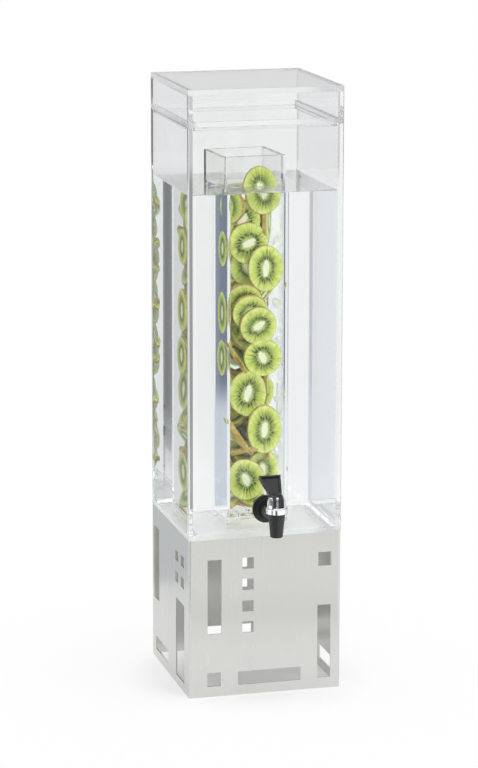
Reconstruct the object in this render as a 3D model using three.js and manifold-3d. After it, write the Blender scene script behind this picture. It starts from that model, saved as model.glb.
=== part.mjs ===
// Infusion beverage dispenser: a square clear acrylic tank with a lift-off lid and a loose
// infusion chamber, standing on a pierced stainless steel riser, with a lever tap at the front.
// Millimetres, +Z up. The front face looks along -Y. The origin is on the table, at the middle
// of the outline that the whole dispenser covers.
import * as THREE from 'three';
import { mergeVertices } from 'three/addons/utils/BufferGeometryUtils.js';
import Module from 'manifold-3d';

const wasm = await Module();
wasm.setup();

// Driving dimensions
const footprint = 184;
const overrun = 1;
const seatGap = 0.3;

// Riser
const riserHeight = 190;
const sheet = 1.5;
const bendRadius = 3;
const ledgeWidth = 12;
const ledgeRadius = 6;

// Tank
const wall = 6;
const floorThickness = 6;
const tankWallHeight = 476;
const locatorThickness = 6;
const locatorClearance = 1;

// Lid
const frameThickness = 6;
const skirtHeight = 30.5;
const lidThickness = 7;
const lipDepth = 4;
const lipThickness = 3;
const lipClearance = 0.8;

// Infusion chamber
const chamberSide = 75;
const chamberWall = 4.5;
const chamberHeight = 434;
const chamberTurn = THREE.MathUtils.degToRad(4);
const chamberOffset = -2;
const chamberFloorLift = 8;
const feedSlotWidth = 42;
const feedSlotHeight = 6;
const strainerHoleDiameter = 8;
const strainerPitch = 14.5;
const strainerHolesPerSide = 4;

// Tap, measured from the tank's front face and from the middle of the threaded shank
const tapHeight = 34;
const barrelReach = 48;
const barrelTopRadius = 10;
const spoutRadius = 7.3;
const spoutDrop = 22;
const shoulderHeight = 6.5;
const spigotRadius = 8.7;
const spigotHeight = 4;
const valveRadius = 7.5;
const seatDrop = 6;
const waterwayRadius = 4.5;
const outletRadius = 6.2;
const neckRadius = 8.6;
const neckWaistRadius = 6.2;
const neckFlareStart = 34;
const neckFlareEnd = 13;
const shankRadius = 7.7;
const shankInside = 20;
const fitClearance = 0.3;
const wallHoleClearance = 0.8;

const washerThickness = 1.8;
const outerWasherRadius = 13.5;
const innerWasherRadius = 13;
const flangeRadius = 16.6;
const flangeFaceRadius = 10.5;
const flangeThickness = 7.2;
const flangeRidges = 3;
const nutRadius = 14;
const nutThickness = 8;
const nutSides = 6;

const bonnetRadius = 12.7;
const bonnetRingHeight = 5.8;
const bonnetGrooveWidth = 0.7;
const bonnetGrooveDepth = 0.9;
const bonnetHeight = 18.7;
const bonnetCrownRadius = 7.4;
const bonnetRoof = 2;

const pinRadius = 1.5;
const pinRise = 8.5;
const pinClearance = 0.4;
const stemRadius = 2;
const stemClearance = 0.5;
const stemEyeThickness = 4;
const stemEyeRadius = 3.4;
const springSeatRadius = 4.6;
const springSeatThickness = 0.8;
const valveLift = 4.5;
const valveLiftSpare = 0.5;

const cupPlugHeight = 4.5;
const cupPlugRadius = 6.2;
const cupWaistRadius = 5;
const cupWebHeight = 2.2;
const cupSkirtHeight = 6.2;
const cupSkirtRadius = 7;
const cupSkirtWall = 1.3;
const cupPocketDepth = 1.2;

const springWire = 0.8;
const springRadius = 3.7;
const springTurns = 5;
const springStepsPerTurn = 12;
const springWireSteps = 3;

const leverBlockWidth = 12;
const leverBlockFront = 8;
const leverBlockBack = 5;
const leverBlockTop = 5;
const leverHeelRadius = 2;
const leverSideClearance = 0.4;
const leverLength = 37;
const leverTipWidth = 26;
const leverThickness = 4.2;
const leverRootLength = 5.5;
const leverShoulderLength = 1.5;
const leverShoulderWidth = 15;
const leverCornerRadius = 1;
const leverRim = 2.6;
const leverRecess = 1.6;
const leverLean = THREE.MathUtils.degToRad(60);

const rimRound = 0.5;
const roundSteps = 32;
const smallSteps = 20;
const bendSteps = 5;
const mergeTolerance = 1e-4;

// Heights that follow
const tankBottom = riserHeight;
const tankFloorTop = tankBottom + floorThickness;
const tankTop = tankFloorTop + tankWallHeight;
const skirtBottom = tankTop + frameThickness;
const skirtTop = skirtBottom + skirtHeight;
const half = footprint / 2;
const inside = footprint - 2 * wall;
const tapReach = barrelReach + bonnetRadius;

// Places of the tap's pieces along the shank, and up its barrel
const flangeBack = -washerThickness - seatGap;
const flangeFront = flangeBack - flangeThickness;
const neckEnd = flangeFront - seatGap;
const cupFoot = seatGap - seatDrop;
const cupPlugTop = cupFoot + cupPlugHeight;
const cupWebTop = cupPlugTop + cupWebHeight;
const cupSkirtEnd = cupWebTop + cupSkirtHeight;
const bonnetFoot = shoulderHeight + seatGap;
const bonnetRoofBottom = cupSkirtEnd + valveLift + valveLiftSpare;
const leverFloor = bonnetRoofBottom + bonnetRoof;
const leverHeel = leverFloor + seatGap;
const pinHeight = leverHeel + pinRise;
const springSeat = cupWebTop + seatGap;
const springFrom = springSeat + springSeatThickness + seatGap + springWire / 2;
const springTo = bonnetRoofBottom - seatGap - springWire / 2;

// Windows of the riser, as shares of the face they are cut in: left, right, bottom, top,
// each as seen from outside. Opposite faces are alike.
const frontWindowShares = [
  [0.122, 0.213, 0.400, 0.871],
  [0.120, 0.209, 0.066, 0.153],
  [0.350, 0.424, 0.803, 0.873],
  [0.350, 0.424, 0.668, 0.738],
  [0.350, 0.424, 0.531, 0.600],
  [0.350, 0.424, 0.397, 0.467],
  [0.322, 0.736, 0.064, 0.149],
  [0.851, 0.938, 0.788, 0.875],
  [0.847, 0.935, 0.069, 0.537],
];
const sideWindowShares = [
  [0.057, 0.198, 0.396, 0.868],
  [0.102, 0.448, 0.060, 0.146],
  [0.642, 0.721, 0.795, 0.858],
  [0.788, 0.870, 0.795, 0.862],
  [0.642, 0.721, 0.660, 0.723],
  [0.788, 0.870, 0.660, 0.726],
  [0.655, 0.875, 0.058, 0.556],
];

// Heights up the bonnet's dome where its curve has a corner, as shares of its rise
const domeShares = [0.35, 0.6, 0.8, 0.93, 1];

const acrylic = () => new THREE.MeshStandardMaterial({
  color: 0xe6edf0, roughness: 0.05, metalness: 0, transparent: true, opacity: 0.35,
});
const brushedSteel = () => new THREE.MeshStandardMaterial({
  color: 0xc4c5c0, roughness: 0.38, metalness: 0.9,
});
const blackPlastic = () => new THREE.MeshStandardMaterial({
  color: 0x1b1b1c, roughness: 0.35, metalness: 0,
});
const chrome = () => new THREE.MeshStandardMaterial({
  color: 0xdcdddf, roughness: 0.08, metalness: 1,
});
const blackRubber = () => new THREE.MeshStandardMaterial({
  color: 0x242424, roughness: 0.85, metalness: 0,
});
const greySilicone = () => new THREE.MeshStandardMaterial({
  color: 0xb9bcbd, roughness: 0.6, metalness: 0,
});
const steel = () => new THREE.MeshStandardMaterial({
  color: 0xb0b2b4, roughness: 0.3, metalness: 1,
});

// Turns a closed three.js geometry into a solid, with its faces pointing out
function solidOf(geometry) {
  const bare = geometry.clone();
  bare.deleteAttribute('normal');
  bare.deleteAttribute('uv');
  const merged = mergeVertices(bare, mergeTolerance);
  const corners = merged.attributes.position;
  const a = new THREE.Vector3();
  const b = new THREE.Vector3();
  const c = new THREE.Vector3();
  const triangles = [];
  let volume = 0;
  for (let i = 0; i < merged.index.count; i += 3) {
    const [p, q, r] = [0, 1, 2].map((k) => merged.index.getX(i + k));
    if (p === q || q === r || r === p) continue;
    a.fromBufferAttribute(corners, p);
    b.fromBufferAttribute(corners, q);
    c.fromBufferAttribute(corners, r);
    volume += a.dot(b.cross(c));
    triangles.push(p, q, r);
  }
  if (volume < 0) triangles.reverse();
  return new wasm.Manifold(new wasm.Mesh({
    numProp: 3,
    vertProperties: new Float32Array(corners.array),
    triVerts: new Uint32Array(triangles),
  }));
}

function geometryOf(solid) {
  const mesh = solid.getMesh();
  const geometry = new THREE.BufferGeometry();
  const places = new Float32Array((mesh.vertProperties.length / mesh.numProp) * 3);
  for (let i = 0; i < places.length / 3; i += 1) {
    for (let k = 0; k < 3; k += 1) {
      places[3 * i + k] = mesh.vertProperties[mesh.numProp * i + k];
    }
  }
  geometry.setAttribute('position', new THREE.BufferAttribute(places, 3));
  geometry.setIndex(new THREE.BufferAttribute(new Uint32Array(mesh.triVerts), 1));
  geometry.computeVertexNormals();
  return geometry;
}

function cut(solid, ...tools) {
  return tools.reduce((rest, tool) => rest.subtract(tool), solid);
}

function join(...solids) {
  return solids.reduce((sum, next) => sum.add(next));
}

function part(name, solid, material) {
  const mesh = new THREE.Mesh(geometryOf(solid), material);
  mesh.name = name;
  return mesh;
}

// A block between two corners
function block(from, to) {
  const size = to.map((value, axis) => value - from[axis]);
  const middle = to.map((value, axis) => (value + from[axis]) / 2);
  return solidOf(new THREE.BoxGeometry(...size).translate(...middle));
}

// A profile of [radius, height] corners turned about Z
function turnedUpright(corners, steps = roundSteps) {
  return solidOf(lathe(corners, steps).rotateX(Math.PI / 2));
}

// A profile of [radius, place] corners turned about Y
function turnedAlongShank(corners, steps = roundSteps) {
  return solidOf(lathe(corners, steps));
}

function lathe(corners, steps) {
  const points = corners.map(([radius, place]) => new THREE.Vector2(radius, place));
  return new THREE.LatheGeometry(points, steps);
}

// A washer-like ring: a closed rectangle turned about Y
function ringAlongShank(inner, outer, from, to) {
  return turnedAlongShank([[inner, from], [outer, from], [outer, to], [inner, to], [inner, from]]);
}

function rodAlongShank(radius, from, to) {
  return turnedAlongShank([[0, from], [radius, from], [radius, to], [0, to]]);
}

function rodUpright(radius, from, to, steps = roundSteps) {
  return turnedUpright([[0, from], [radius, from], [radius, to], [0, to]], steps);
}

function rodAcross(radius, length) {
  return solidOf(new THREE.CylinderGeometry(radius, radius, length, smallSteps).rotateZ(Math.PI / 2));
}

function roundedSquare(Kind, side, radius) {
  const reach = side / 2;
  const outline = new Kind();
  outline.moveTo(reach, -reach + radius);
  outline.lineTo(reach, reach - radius);
  outline.absarc(reach - radius, reach - radius, radius, 0, Math.PI / 2);
  outline.lineTo(-reach + radius, reach);
  outline.absarc(-reach + radius, reach - radius, radius, Math.PI / 2, Math.PI);
  outline.lineTo(-reach, -reach + radius);
  outline.absarc(-reach + radius, -reach + radius, radius, Math.PI, 1.5 * Math.PI);
  outline.lineTo(reach - radius, -reach);
  outline.absarc(reach - radius, -reach + radius, radius, 1.5 * Math.PI, 2 * Math.PI);
  return outline;
}

function squareTube(side, outerRadius, innerSide, innerRadius, from, to) {
  const outline = roundedSquare(THREE.Shape, side, outerRadius);
  outline.holes.push(roundedSquare(THREE.Path, innerSide, innerRadius));
  const geometry = new THREE.ExtrudeGeometry(outline, {
    depth: to - from, bevelEnabled: false, curveSegments: bendSteps,
  });
  return solidOf(geometry.translate(0, 0, from));
}

// Cutters for the windows of one face and its opposite. The face looks along -Y, and turn
// swings both round to the sides.
function windowCutters(shares, turn) {
  const cutters = [];
  for (const [left, right, bottom, top] of shares) {
    for (const side of [0, Math.PI]) {
      const geometry = new THREE.BoxGeometry(
        (right - left) * footprint,
        sheet + 2 * overrun,
        (top - bottom) * riserHeight,
      );
      geometry.translate(
        ((left + right) / 2) * footprint - half,
        -half + sheet / 2,
        ((bottom + top) / 2) * riserHeight,
      );
      cutters.push(solidOf(geometry.rotateZ(turn + side)));
    }
  }
  return cutters;
}

function riserShell() {
  const inner = footprint - 2 * sheet;
  const walls = squareTube(footprint, bendRadius, inner, bendRadius - sheet, 0, riserHeight);
  const mouth = inner - 2 * ledgeWidth;
  const ledge = squareTube(
    footprint, bendRadius, mouth, ledgeRadius, riserHeight - sheet, riserHeight,
  );
  const windows = [
    ...windowCutters(frontWindowShares, 0),
    ...windowCutters(sideWindowShares, -Math.PI / 2),
  ];
  return part('riser_shell', cut(join(walls, ledge), ...windows), brushedSteel());
}

// Four upright panels of a square box: the front and back run the full width, and the sides
// stand between them. A gap can be left in the corner joints.
function panelSet(prefix, side, thickness, from, to, gap = 0) {
  const reach = side / 2;
  const inner = reach - thickness;
  const between = inner - gap;
  const corners = {
    front: [[-reach, -reach, from], [reach, -inner, to]],
    back: [[-reach, inner, from], [reach, reach, to]],
    left: [[-reach, -between, from], [-inner, between, to]],
    right: [[inner, -between, from], [reach, between, to]],
  };
  return Object.entries(corners).map(([place, [low, high]]) => (
    part(`${prefix}_${place}`, block(low, high), acrylic())
  ));
}

function tankPanels() {
  const [front, back, left, right] = panelSet('tank', footprint, wall, tankFloorTop, tankTop);
  const holeRadius = shankRadius + wallHoleClearance;
  const hole = rodAlongShank(holeRadius, -overrun, wall + overrun)
    .translate([0, -half, tankBottom + tapHeight]);
  const drilled = part('tank_front', cut(solidOf(front.geometry), hole), acrylic());
  return [drilled, back, left, right];
}

function tankFloor() {
  const plate = block([-half, -half, tankBottom], [half, half, tankFloorTop]);
  return part('tank_floor', plate, acrylic());
}

// The plate bonded under the floor drops into the riser's mouth and keeps the tank from sliding
function floorLocator() {
  const side = footprint - 2 * (sheet + ledgeWidth + locatorClearance);
  const geometry = new THREE.ExtrudeGeometry(roundedSquare(THREE.Shape, side, ledgeRadius), {
    depth: locatorThickness, bevelEnabled: false, curveSegments: bendSteps,
  });
  geometry.translate(0, 0, tankBottom - locatorThickness);
  return part('tank_floor_locator', solidOf(geometry), acrylic());
}

// The frame's mouth is flush with the inner faces of the lips under it
function lidPieces() {
  const plate = block([-half, -half, skirtTop], [half, half, skirtTop + lidThickness]);
  const lipSide = inside - 2 * lipClearance;
  const mouth = lipSide / 2 - lipThickness;
  const frame = cut(
    block([-half, -half, tankTop], [half, half, skirtBottom]),
    block([-mouth, -mouth, tankTop - overrun], [mouth, mouth, skirtBottom + overrun]),
  );
  return [
    part('lid_top', plate, acrylic()),
    ...panelSet('lid_skirt', footprint, wall, skirtBottom, skirtTop),
    part('lid_frame', frame, acrylic()),
    ...panelSet('lid_lip', lipSide, lipThickness, tankTop - lipDepth, tankTop),
  ];
}

// A low slot at the foot of each chamber panel lets the drink in under the strainer
function chamberPieces() {
  const foot = seatGap;
  const panels = panelSet('chamber', chamberSide, chamberWall, foot, chamberHeight, seatGap);
  const slotReach = feedSlotWidth / 2;
  const slotTop = foot + feedSlotHeight;
  const reach = chamberSide / 2 + overrun;
  const slotAlong = block([-slotReach, -reach, foot - overrun], [slotReach, reach, slotTop]);
  const slotAcross = block([-reach, -slotReach, foot - overrun], [reach, slotReach, slotTop]);
  const slots = [slotAlong, slotAlong, slotAcross, slotAcross];
  const slotted = panels.map((panel, place) => (
    part(panel.name, cut(solidOf(panel.geometry), slots[place]), acrylic())
  ));
  return [...slotted, chamberStrainer()];
}

function chamberStrainer() {
  const reach = chamberSide / 2 - chamberWall - seatGap;
  const from = chamberFloorLift;
  const to = chamberFloorLift + chamberWall;
  const first = (-strainerPitch * (strainerHolesPerSide - 1)) / 2;
  const holes = [];
  for (let row = 0; row < strainerHolesPerSide; row += 1) {
    for (let column = 0; column < strainerHolesPerSide; column += 1) {
      const hole = rodUpright(strainerHoleDiameter / 2, from - overrun, to + overrun, smallSteps);
      holes.push(hole.translate([first + row * strainerPitch, first + column * strainerPitch, 0]));
    }
  }
  const plate = block([-reach, -reach, from], [reach, reach, to]);
  return part('chamber_strainer', cut(plate, ...holes), acrylic());
}

// The tap's pieces are placed from the shank's axis at the tank's front face. Their barrel
// stands barrelReach in front of it.
function tapBody() {
  const top = shoulderHeight + spigotHeight;
  const barrel = turnedUpright([
    [0, -spoutDrop],
    [spoutRadius - rimRound, -spoutDrop],
    [spoutRadius, rimRound - spoutDrop],
    [barrelTopRadius, shoulderHeight - 2 * rimRound],
    [barrelTopRadius, shoulderHeight],
    [spigotRadius, shoulderHeight],
    [spigotRadius, top],
    [0, top],
  ]).translate([0, -barrelReach, 0]);
  const neck = turnedAlongShank([
    [0, -barrelReach],
    [neckWaistRadius, -barrelReach],
    [neckWaistRadius, -neckFlareStart],
    [neckRadius, -neckFlareEnd],
    [neckRadius, neckEnd],
    [0, neckEnd],
  ]);
  const shank = rodAlongShank(shankRadius, neckEnd - rimRound, wall + shankInside);
  const valve = rodUpright(valveRadius, -seatDrop, top + overrun).translate([0, -barrelReach, 0]);
  const outlet = turnedUpright([
    [0, -spoutDrop - overrun],
    [outletRadius, -spoutDrop - overrun],
    [outletRadius, -spoutDrop],
    [waterwayRadius, -seatDrop - waterwayRadius],
    [waterwayRadius, -seatDrop + overrun],
    [0, -seatDrop + overrun],
  ]).translate([0, -barrelReach, 0]);
  const waterway = rodAlongShank(waterwayRadius, -barrelReach, wall + shankInside + overrun);
  return part('tap_body', cut(join(barrel, neck, shank), valve, outlet, waterway), blackPlastic());
}

// A stepped escutcheon that covers the hole in the tank's front
function tapFlange() {
  const bore = shankRadius + fitClearance;
  const step = (flangeRadius - flangeFaceRadius) / flangeRidges;
  const rise = flangeThickness / (flangeRidges + 1);
  const corners = [[bore, flangeBack], [flangeRadius, flangeBack]];
  for (let ridge = 0; ridge < flangeRidges; ridge += 1) {
    const radius = flangeRadius - ridge * step;
    const place = flangeBack - (ridge + 1) * rise;
    corners.push([radius, place], [radius - rimRound, place - rimRound]);
    corners.push([radius - step, place - rimRound]);
  }
  corners.push([flangeFaceRadius, flangeFront], [bore, flangeFront], [bore, flangeBack]);
  return part('tap_flange', turnedAlongShank(corners), blackPlastic());
}

function tapWashers() {
  const bore = shankRadius + fitClearance;
  const outer = ringAlongShank(bore, outerWasherRadius, -washerThickness, 0);
  const inner = ringAlongShank(bore, innerWasherRadius, wall, wall + washerThickness);
  return [
    part('tap_outer_washer', outer, blackRubber()),
    part('tap_inner_washer', inner, blackRubber()),
  ];
}

function tapNut() {
  const from = wall + washerThickness + seatGap;
  const hexagon = new THREE.CylinderGeometry(nutRadius, nutRadius, nutThickness, nutSides);
  const blank = solidOf(hexagon.translate(0, from + nutThickness / 2, 0));
  const bore = rodAlongShank(shankRadius + fitClearance, from - overrun, from + nutThickness + overrun);
  return part('tap_nut', cut(blank, bore), blackPlastic());
}

// A chrome cap with a grooved ring. Its crown is slotted from front to back for the lever.
function tapBonnet() {
  const ringTop = bonnetFoot + bonnetRingHeight;
  const crown = bonnetFoot + bonnetHeight;
  const rise = crown - ringTop;
  const grooveOuter = bonnetRadius - bonnetGrooveWidth;
  const grooveInner = grooveOuter - bonnetGrooveWidth;
  const swell = grooveInner - bonnetCrownRadius;
  const dome = domeShares.map((share) => [
    grooveInner - swell * (1 - Math.sqrt(1 - share * share)),
    ringTop + rise * share,
  ]);
  const blank = turnedUpright([
    [0, bonnetFoot],
    [bonnetRadius, bonnetFoot],
    [bonnetRadius, ringTop - rimRound],
    [bonnetRadius - rimRound, ringTop],
    [grooveOuter, ringTop],
    [grooveOuter, ringTop - bonnetGrooveDepth],
    [grooveInner, ringTop - bonnetGrooveDepth],
    [grooveInner, ringTop],
    ...dome,
    [0, crown],
  ]);
  const socketTop = shoulderHeight + spigotHeight + seatGap;
  const socket = rodUpright(spigotRadius + fitClearance, bonnetFoot - overrun, socketTop);
  const cavity = rodUpright(valveRadius, bonnetFoot, bonnetRoofBottom);
  const stemHole = rodUpright(stemRadius + stemClearance, bonnetFoot, crown, smallSteps);
  const slotReach = leverBlockWidth / 2 + leverSideClearance;
  const slot = block(
    [-slotReach, -bonnetRadius - overrun, leverFloor],
    [slotReach, bonnetRadius + overrun, crown + overrun],
  );
  return part('tap_bonnet', cut(blank, socket, cavity, stemHole, slot), chrome());
}

// The stem hangs on the lever's pin by a flat eye and carries the spring's seat
function tapStem() {
  const foot = cupPlugTop - cupPocketDepth + seatGap;
  const eye = rodAcross(stemEyeRadius, stemEyeThickness).translate([0, 0, pinHeight]);
  const web = block(
    [-stemEyeThickness / 2, -stemRadius, leverHeel],
    [stemEyeThickness / 2, stemRadius, pinHeight],
  );
  const rod = rodUpright(stemRadius, foot, leverHeel + stemRadius, smallSteps);
  const collar = rodUpright(springSeatRadius, springSeat, springSeat + springSeatThickness, smallSteps);
  const hole = rodAcross(pinRadius + seatGap, stemEyeThickness + 2 * overrun).translate([0, 0, pinHeight]);
  return part('tap_stem', cut(join(rod, collar, eye, web), hole), steel());
}

// A silicone cup: its plug closes the outlet and its skirt seals under the bonnet
function tapSeatCup() {
  const bore = stemRadius + fitClearance;
  const cup = turnedUpright([
    [0, cupFoot],
    [cupPlugRadius - rimRound, cupFoot],
    [cupPlugRadius, cupFoot + rimRound],
    [cupPlugRadius, cupPlugTop - rimRound],
    [cupWaistRadius, cupPlugTop],
    [cupWaistRadius, cupWebTop - rimRound],
    [cupSkirtRadius, cupWebTop + rimRound],
    [cupSkirtRadius, cupSkirtEnd],
    [cupSkirtRadius - cupSkirtWall, cupSkirtEnd],
    [cupSkirtRadius - cupSkirtWall, cupWebTop],
    [bore, cupWebTop],
    [bore, cupPlugTop - cupPocketDepth],
    [0, cupPlugTop - cupPocketDepth],
  ]);
  return part('tap_seat_cup', cup, greySilicone());
}

class Helix extends THREE.Curve {
  getPoint(share, target = new THREE.Vector3()) {
    const angle = 2 * Math.PI * springTurns * share;
    const height = springFrom + (springTo - springFrom) * share;
    return target.set(springRadius * Math.cos(angle), springRadius * Math.sin(angle), height);
  }
}

function tapSpring() {
  const section = new THREE.Shape();
  section.absarc(0, 0, springWire / 2, 0, 2 * Math.PI);
  const coil = new THREE.ExtrudeGeometry(section, {
    steps: springTurns * springStepsPerTurn,
    curveSegments: springWireSteps,
    bevelEnabled: false,
    extrudePath: new Helix(),
  });
  return part('tap_spring', solidOf(coil), steel());
}

// Lays an outline drawn as (back, up) across the lever's width
function acrossLever(outline, thickness) {
  const geometry = new THREE.ExtrudeGeometry(outline, {
    depth: thickness, bevelEnabled: false, curveSegments: bendSteps,
  });
  geometry.translate(0, 0, -thickness / 2);
  const basis = new THREE.Matrix4().makeBasis(
    new THREE.Vector3(0, 1, 0), new THREE.Vector3(0, 0, 1), new THREE.Vector3(1, 0, 0),
  );
  return solidOf(geometry.applyMatrix4(basis));
}

function leverBlock() {
  const bottom = -(pinHeight - leverHeel);
  const outline = new THREE.Shape();
  outline.moveTo(-leverBlockFront + leverHeelRadius, bottom);
  outline.lineTo(leverBlockBack, bottom);
  outline.lineTo(leverBlockBack + leverThickness / 2, 0);
  outline.lineTo(leverThickness, leverBlockTop);
  outline.lineTo(-leverThickness, leverBlockTop);
  outline.lineTo(-leverBlockFront, leverBlockTop - leverThickness);
  outline.lineTo(-leverBlockFront, bottom + leverHeelRadius);
  outline.absarc(
    -leverBlockFront + leverHeelRadius, bottom + leverHeelRadius, leverHeelRadius,
    Math.PI, 1.5 * Math.PI,
  );
  return acrossLever(outline, leverBlockWidth);
}

// The flat of the lever steps out above the bonnet and widens evenly to its tip. Inset draws
// it smaller all round for the recess.
function leverPlate(inset, foot, from, to) {
  const root = leverBlockWidth / 2 - inset;
  const shoulder = leverShoulderWidth / 2 - inset;
  const tip = leverTipWidth / 2 - inset;
  const low = leverRootLength + inset;
  const wide = low + leverShoulderLength;
  const high = leverLength - inset;
  const outline = new THREE.Shape();
  outline.moveTo(-root, foot);
  outline.lineTo(root, foot);
  outline.lineTo(root, low);
  outline.lineTo(shoulder, wide);
  outline.lineTo(tip, high - leverCornerRadius);
  outline.quadraticCurveTo(tip, high, tip - leverCornerRadius, high);
  outline.lineTo(leverCornerRadius - tip, high);
  outline.quadraticCurveTo(-tip, high, -tip, high - leverCornerRadius);
  outline.lineTo(-shoulder, wide);
  outline.lineTo(-root, low);
  const geometry = new THREE.ExtrudeGeometry(outline, {
    depth: to - from, bevelEnabled: false, curveSegments: bendSteps,
  });
  geometry.translate(0, 0, from);
  return solidOf(geometry.rotateX(Math.PI / 2 - leverLean));
}

function tapLever() {
  const face = leverThickness / 2;
  const plate = leverPlate(0, 0, -face, face);
  const recess = leverPlate(leverRim, leverRootLength, face - leverRecess, face + overrun);
  const bottom = -(pinHeight - leverHeel);
  const slotReach = stemEyeThickness / 2 + seatGap;
  const slot = block(
    [-slotReach, -leverBlockFront - overrun, bottom - overrun],
    [slotReach, stemEyeRadius + seatGap, stemEyeRadius + 2 * seatGap],
  );
  const hole = rodAcross(pinRadius + pinClearance, leverBlockWidth + 2 * overrun);
  const lever = cut(join(leverBlock(), plate), recess, slot, hole);
  return part('tap_lever', lever, blackPlastic());
}

function tapPin() {
  return part('tap_lever_pin', rodAcross(pinRadius, leverBlockWidth), steel());
}

function group(pieces, place = [0, 0, 0]) {
  const holder = new THREE.Group();
  holder.add(...pieces);
  holder.position.set(...place);
  return holder;
}

const dispenser = new THREE.Group();
dispenser.name = 'infusion_beverage_dispenser';
dispenser.add(riserShell(), tankFloor(), ...tankPanels(), floorLocator(), ...lidPieces());

// The chamber stands loose, a little turned and off the middle
const chamber = group(chamberPieces(), [chamberOffset, 0, tankFloorTop]);
chamber.rotation.z = chamberTurn;
dispenser.add(chamber);

const onShank = [tapBody(), tapFlange(), ...tapWashers(), tapNut()];
dispenser.add(group(onShank, [0, -half, tankBottom + tapHeight]));
const inBarrel = [tapBonnet(), tapStem(), tapSeatCup(), tapSpring()];
dispenser.add(group(inBarrel, [0, -half - barrelReach, tankBottom + tapHeight]));
const atPin = [tapLever(), tapPin()];
dispenser.add(group(atPin, [0, -half - barrelReach, tankBottom + tapHeight + pinHeight]));

dispenser.position.y = tapReach / 2;

export default dispenser;
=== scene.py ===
"""Looks of the infusion beverage dispenser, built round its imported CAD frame.

Metres, +Z up, in the frame's own axes. The clear acrylic is drawn as bonded shells, the drink
as a volume in the tank, and the kiwi slices as the chamber's filling.
"""
import math
import random
from contextlib import contextmanager

import bmesh
import bpy
from mathutils import Euler, Matrix, Vector

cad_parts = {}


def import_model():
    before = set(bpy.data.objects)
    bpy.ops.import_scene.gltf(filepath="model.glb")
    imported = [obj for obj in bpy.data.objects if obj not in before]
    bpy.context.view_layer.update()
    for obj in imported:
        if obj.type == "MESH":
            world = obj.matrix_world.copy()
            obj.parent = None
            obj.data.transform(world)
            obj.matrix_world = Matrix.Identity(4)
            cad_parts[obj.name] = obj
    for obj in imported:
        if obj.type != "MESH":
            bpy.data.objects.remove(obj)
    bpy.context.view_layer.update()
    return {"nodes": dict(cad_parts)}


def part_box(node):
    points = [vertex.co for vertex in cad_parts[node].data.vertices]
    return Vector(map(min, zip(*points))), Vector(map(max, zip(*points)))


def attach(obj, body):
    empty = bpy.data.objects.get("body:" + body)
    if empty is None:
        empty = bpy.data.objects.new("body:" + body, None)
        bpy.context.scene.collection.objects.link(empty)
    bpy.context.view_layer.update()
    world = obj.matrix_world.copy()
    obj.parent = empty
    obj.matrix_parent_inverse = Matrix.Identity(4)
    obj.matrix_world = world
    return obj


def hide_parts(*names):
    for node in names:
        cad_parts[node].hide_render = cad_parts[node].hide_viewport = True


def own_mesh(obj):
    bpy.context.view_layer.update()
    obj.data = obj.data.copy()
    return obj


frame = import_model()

MM = 0.001
NODES = frame["nodes"]

# Places read from the frame
TANK_LOW, TANK_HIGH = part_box("tank_floor")
HALF = (TANK_HIGH.x - TANK_LOW.x) / 2
MIDDLE = (TANK_LOW + TANK_HIGH) / 2
TANK_BOTTOM = TANK_LOW.z
TANK_FLOOR_TOP = TANK_HIGH.z
TANK_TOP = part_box("tank_front")[1].z
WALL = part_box("tank_front")[1].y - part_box("tank_front")[0].y
CAVITY = HALF - WALL
LOCATOR_LOW, LOCATOR_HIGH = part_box("tank_floor_locator")
LID_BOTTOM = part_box("lid_frame")[0].z
LID_FRAME_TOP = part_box("lid_frame")[1].z
LID_PLATE_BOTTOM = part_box("lid_top")[0].z
LID_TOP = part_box("lid_top")[1].z
LIP_LOW, LIP_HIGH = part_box("lid_lip_front")
LIP_REACH = MIDDLE.y - LIP_LOW.y
LID_MOUTH = MIDDLE.y - LIP_HIGH.y
CHAMBER_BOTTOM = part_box("chamber_front")[0].z
CHAMBER_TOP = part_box("chamber_front")[1].z
STRAINER_LOW, STRAINER_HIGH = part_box("chamber_strainer")
CHAMBER_MIDDLE = (STRAINER_LOW + STRAINER_HIGH) / 2

# Sizes that the frame's boxes don't give
LOCATOR_CORNER = 6 * MM
LOCATOR_CORNER_STEPS = 6
CHAMBER_SIDE = 75 * MM
CHAMBER_WALL = 4.5 * MM
CHAMBER_TURN = math.radians(4)
FEED_WIDTH = 42 * MM
FEED_HEIGHT = 6 * MM
AIR_GAP = 0.1 * MM
OVERRUN = 2 * MM

# Rounding of edges, and the angles between faces that count as flat, smooth and sharp
ACRYLIC_ROUND = 0.35 * MM
SHEET_STEEL_ROUND = 0.15 * MM
MOULDED_ROUND = 0.25 * MM
TURNED_ROUND = 0.2 * MM
ROUND_STEPS = 2
FLAT_ANGLE = math.radians(1)
SMOOTH_ANGLE = math.radians(35)
SHARP_ANGLE = math.radians(40)

# The drink
WATER_LEVEL = 594 * MM
WATER_INSET = 0.05 * MM
MENISCUS_RISE = 0.9 * MM
MENISCUS_WIDTH = 2.2 * MM
MENISCUS_STEPS = 4
LEAST_UPWARD_SHARE = 0.1

# Refractive indices. The drink is sweet and bends light more than water does, but its surface is
# drawn as water's, so that sight from above still leaves through the tank's back.
ACRYLIC_IOR = 1.49
DRINK_IOR = 1.39
SURFACE_IOR = 1.333

# Relief of the finishes
SHEET_ROLL = 1 * MM
RIPPLE_RELIEF = 2 * MM
GRAIN_RELIEF = 0.05 * MM
METAL_RELIEF = 0.02 * MM
FLESH_RELIEF = 0.3 * MM
FUZZ_RELIEF = 0.3 * MM

# Noise lies mostly between these shares of its range, and a finish runs from tone to tone there
NOISE_LOW_SHARE = 0.3
NOISE_HIGH_SHARE = 0.7

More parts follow.
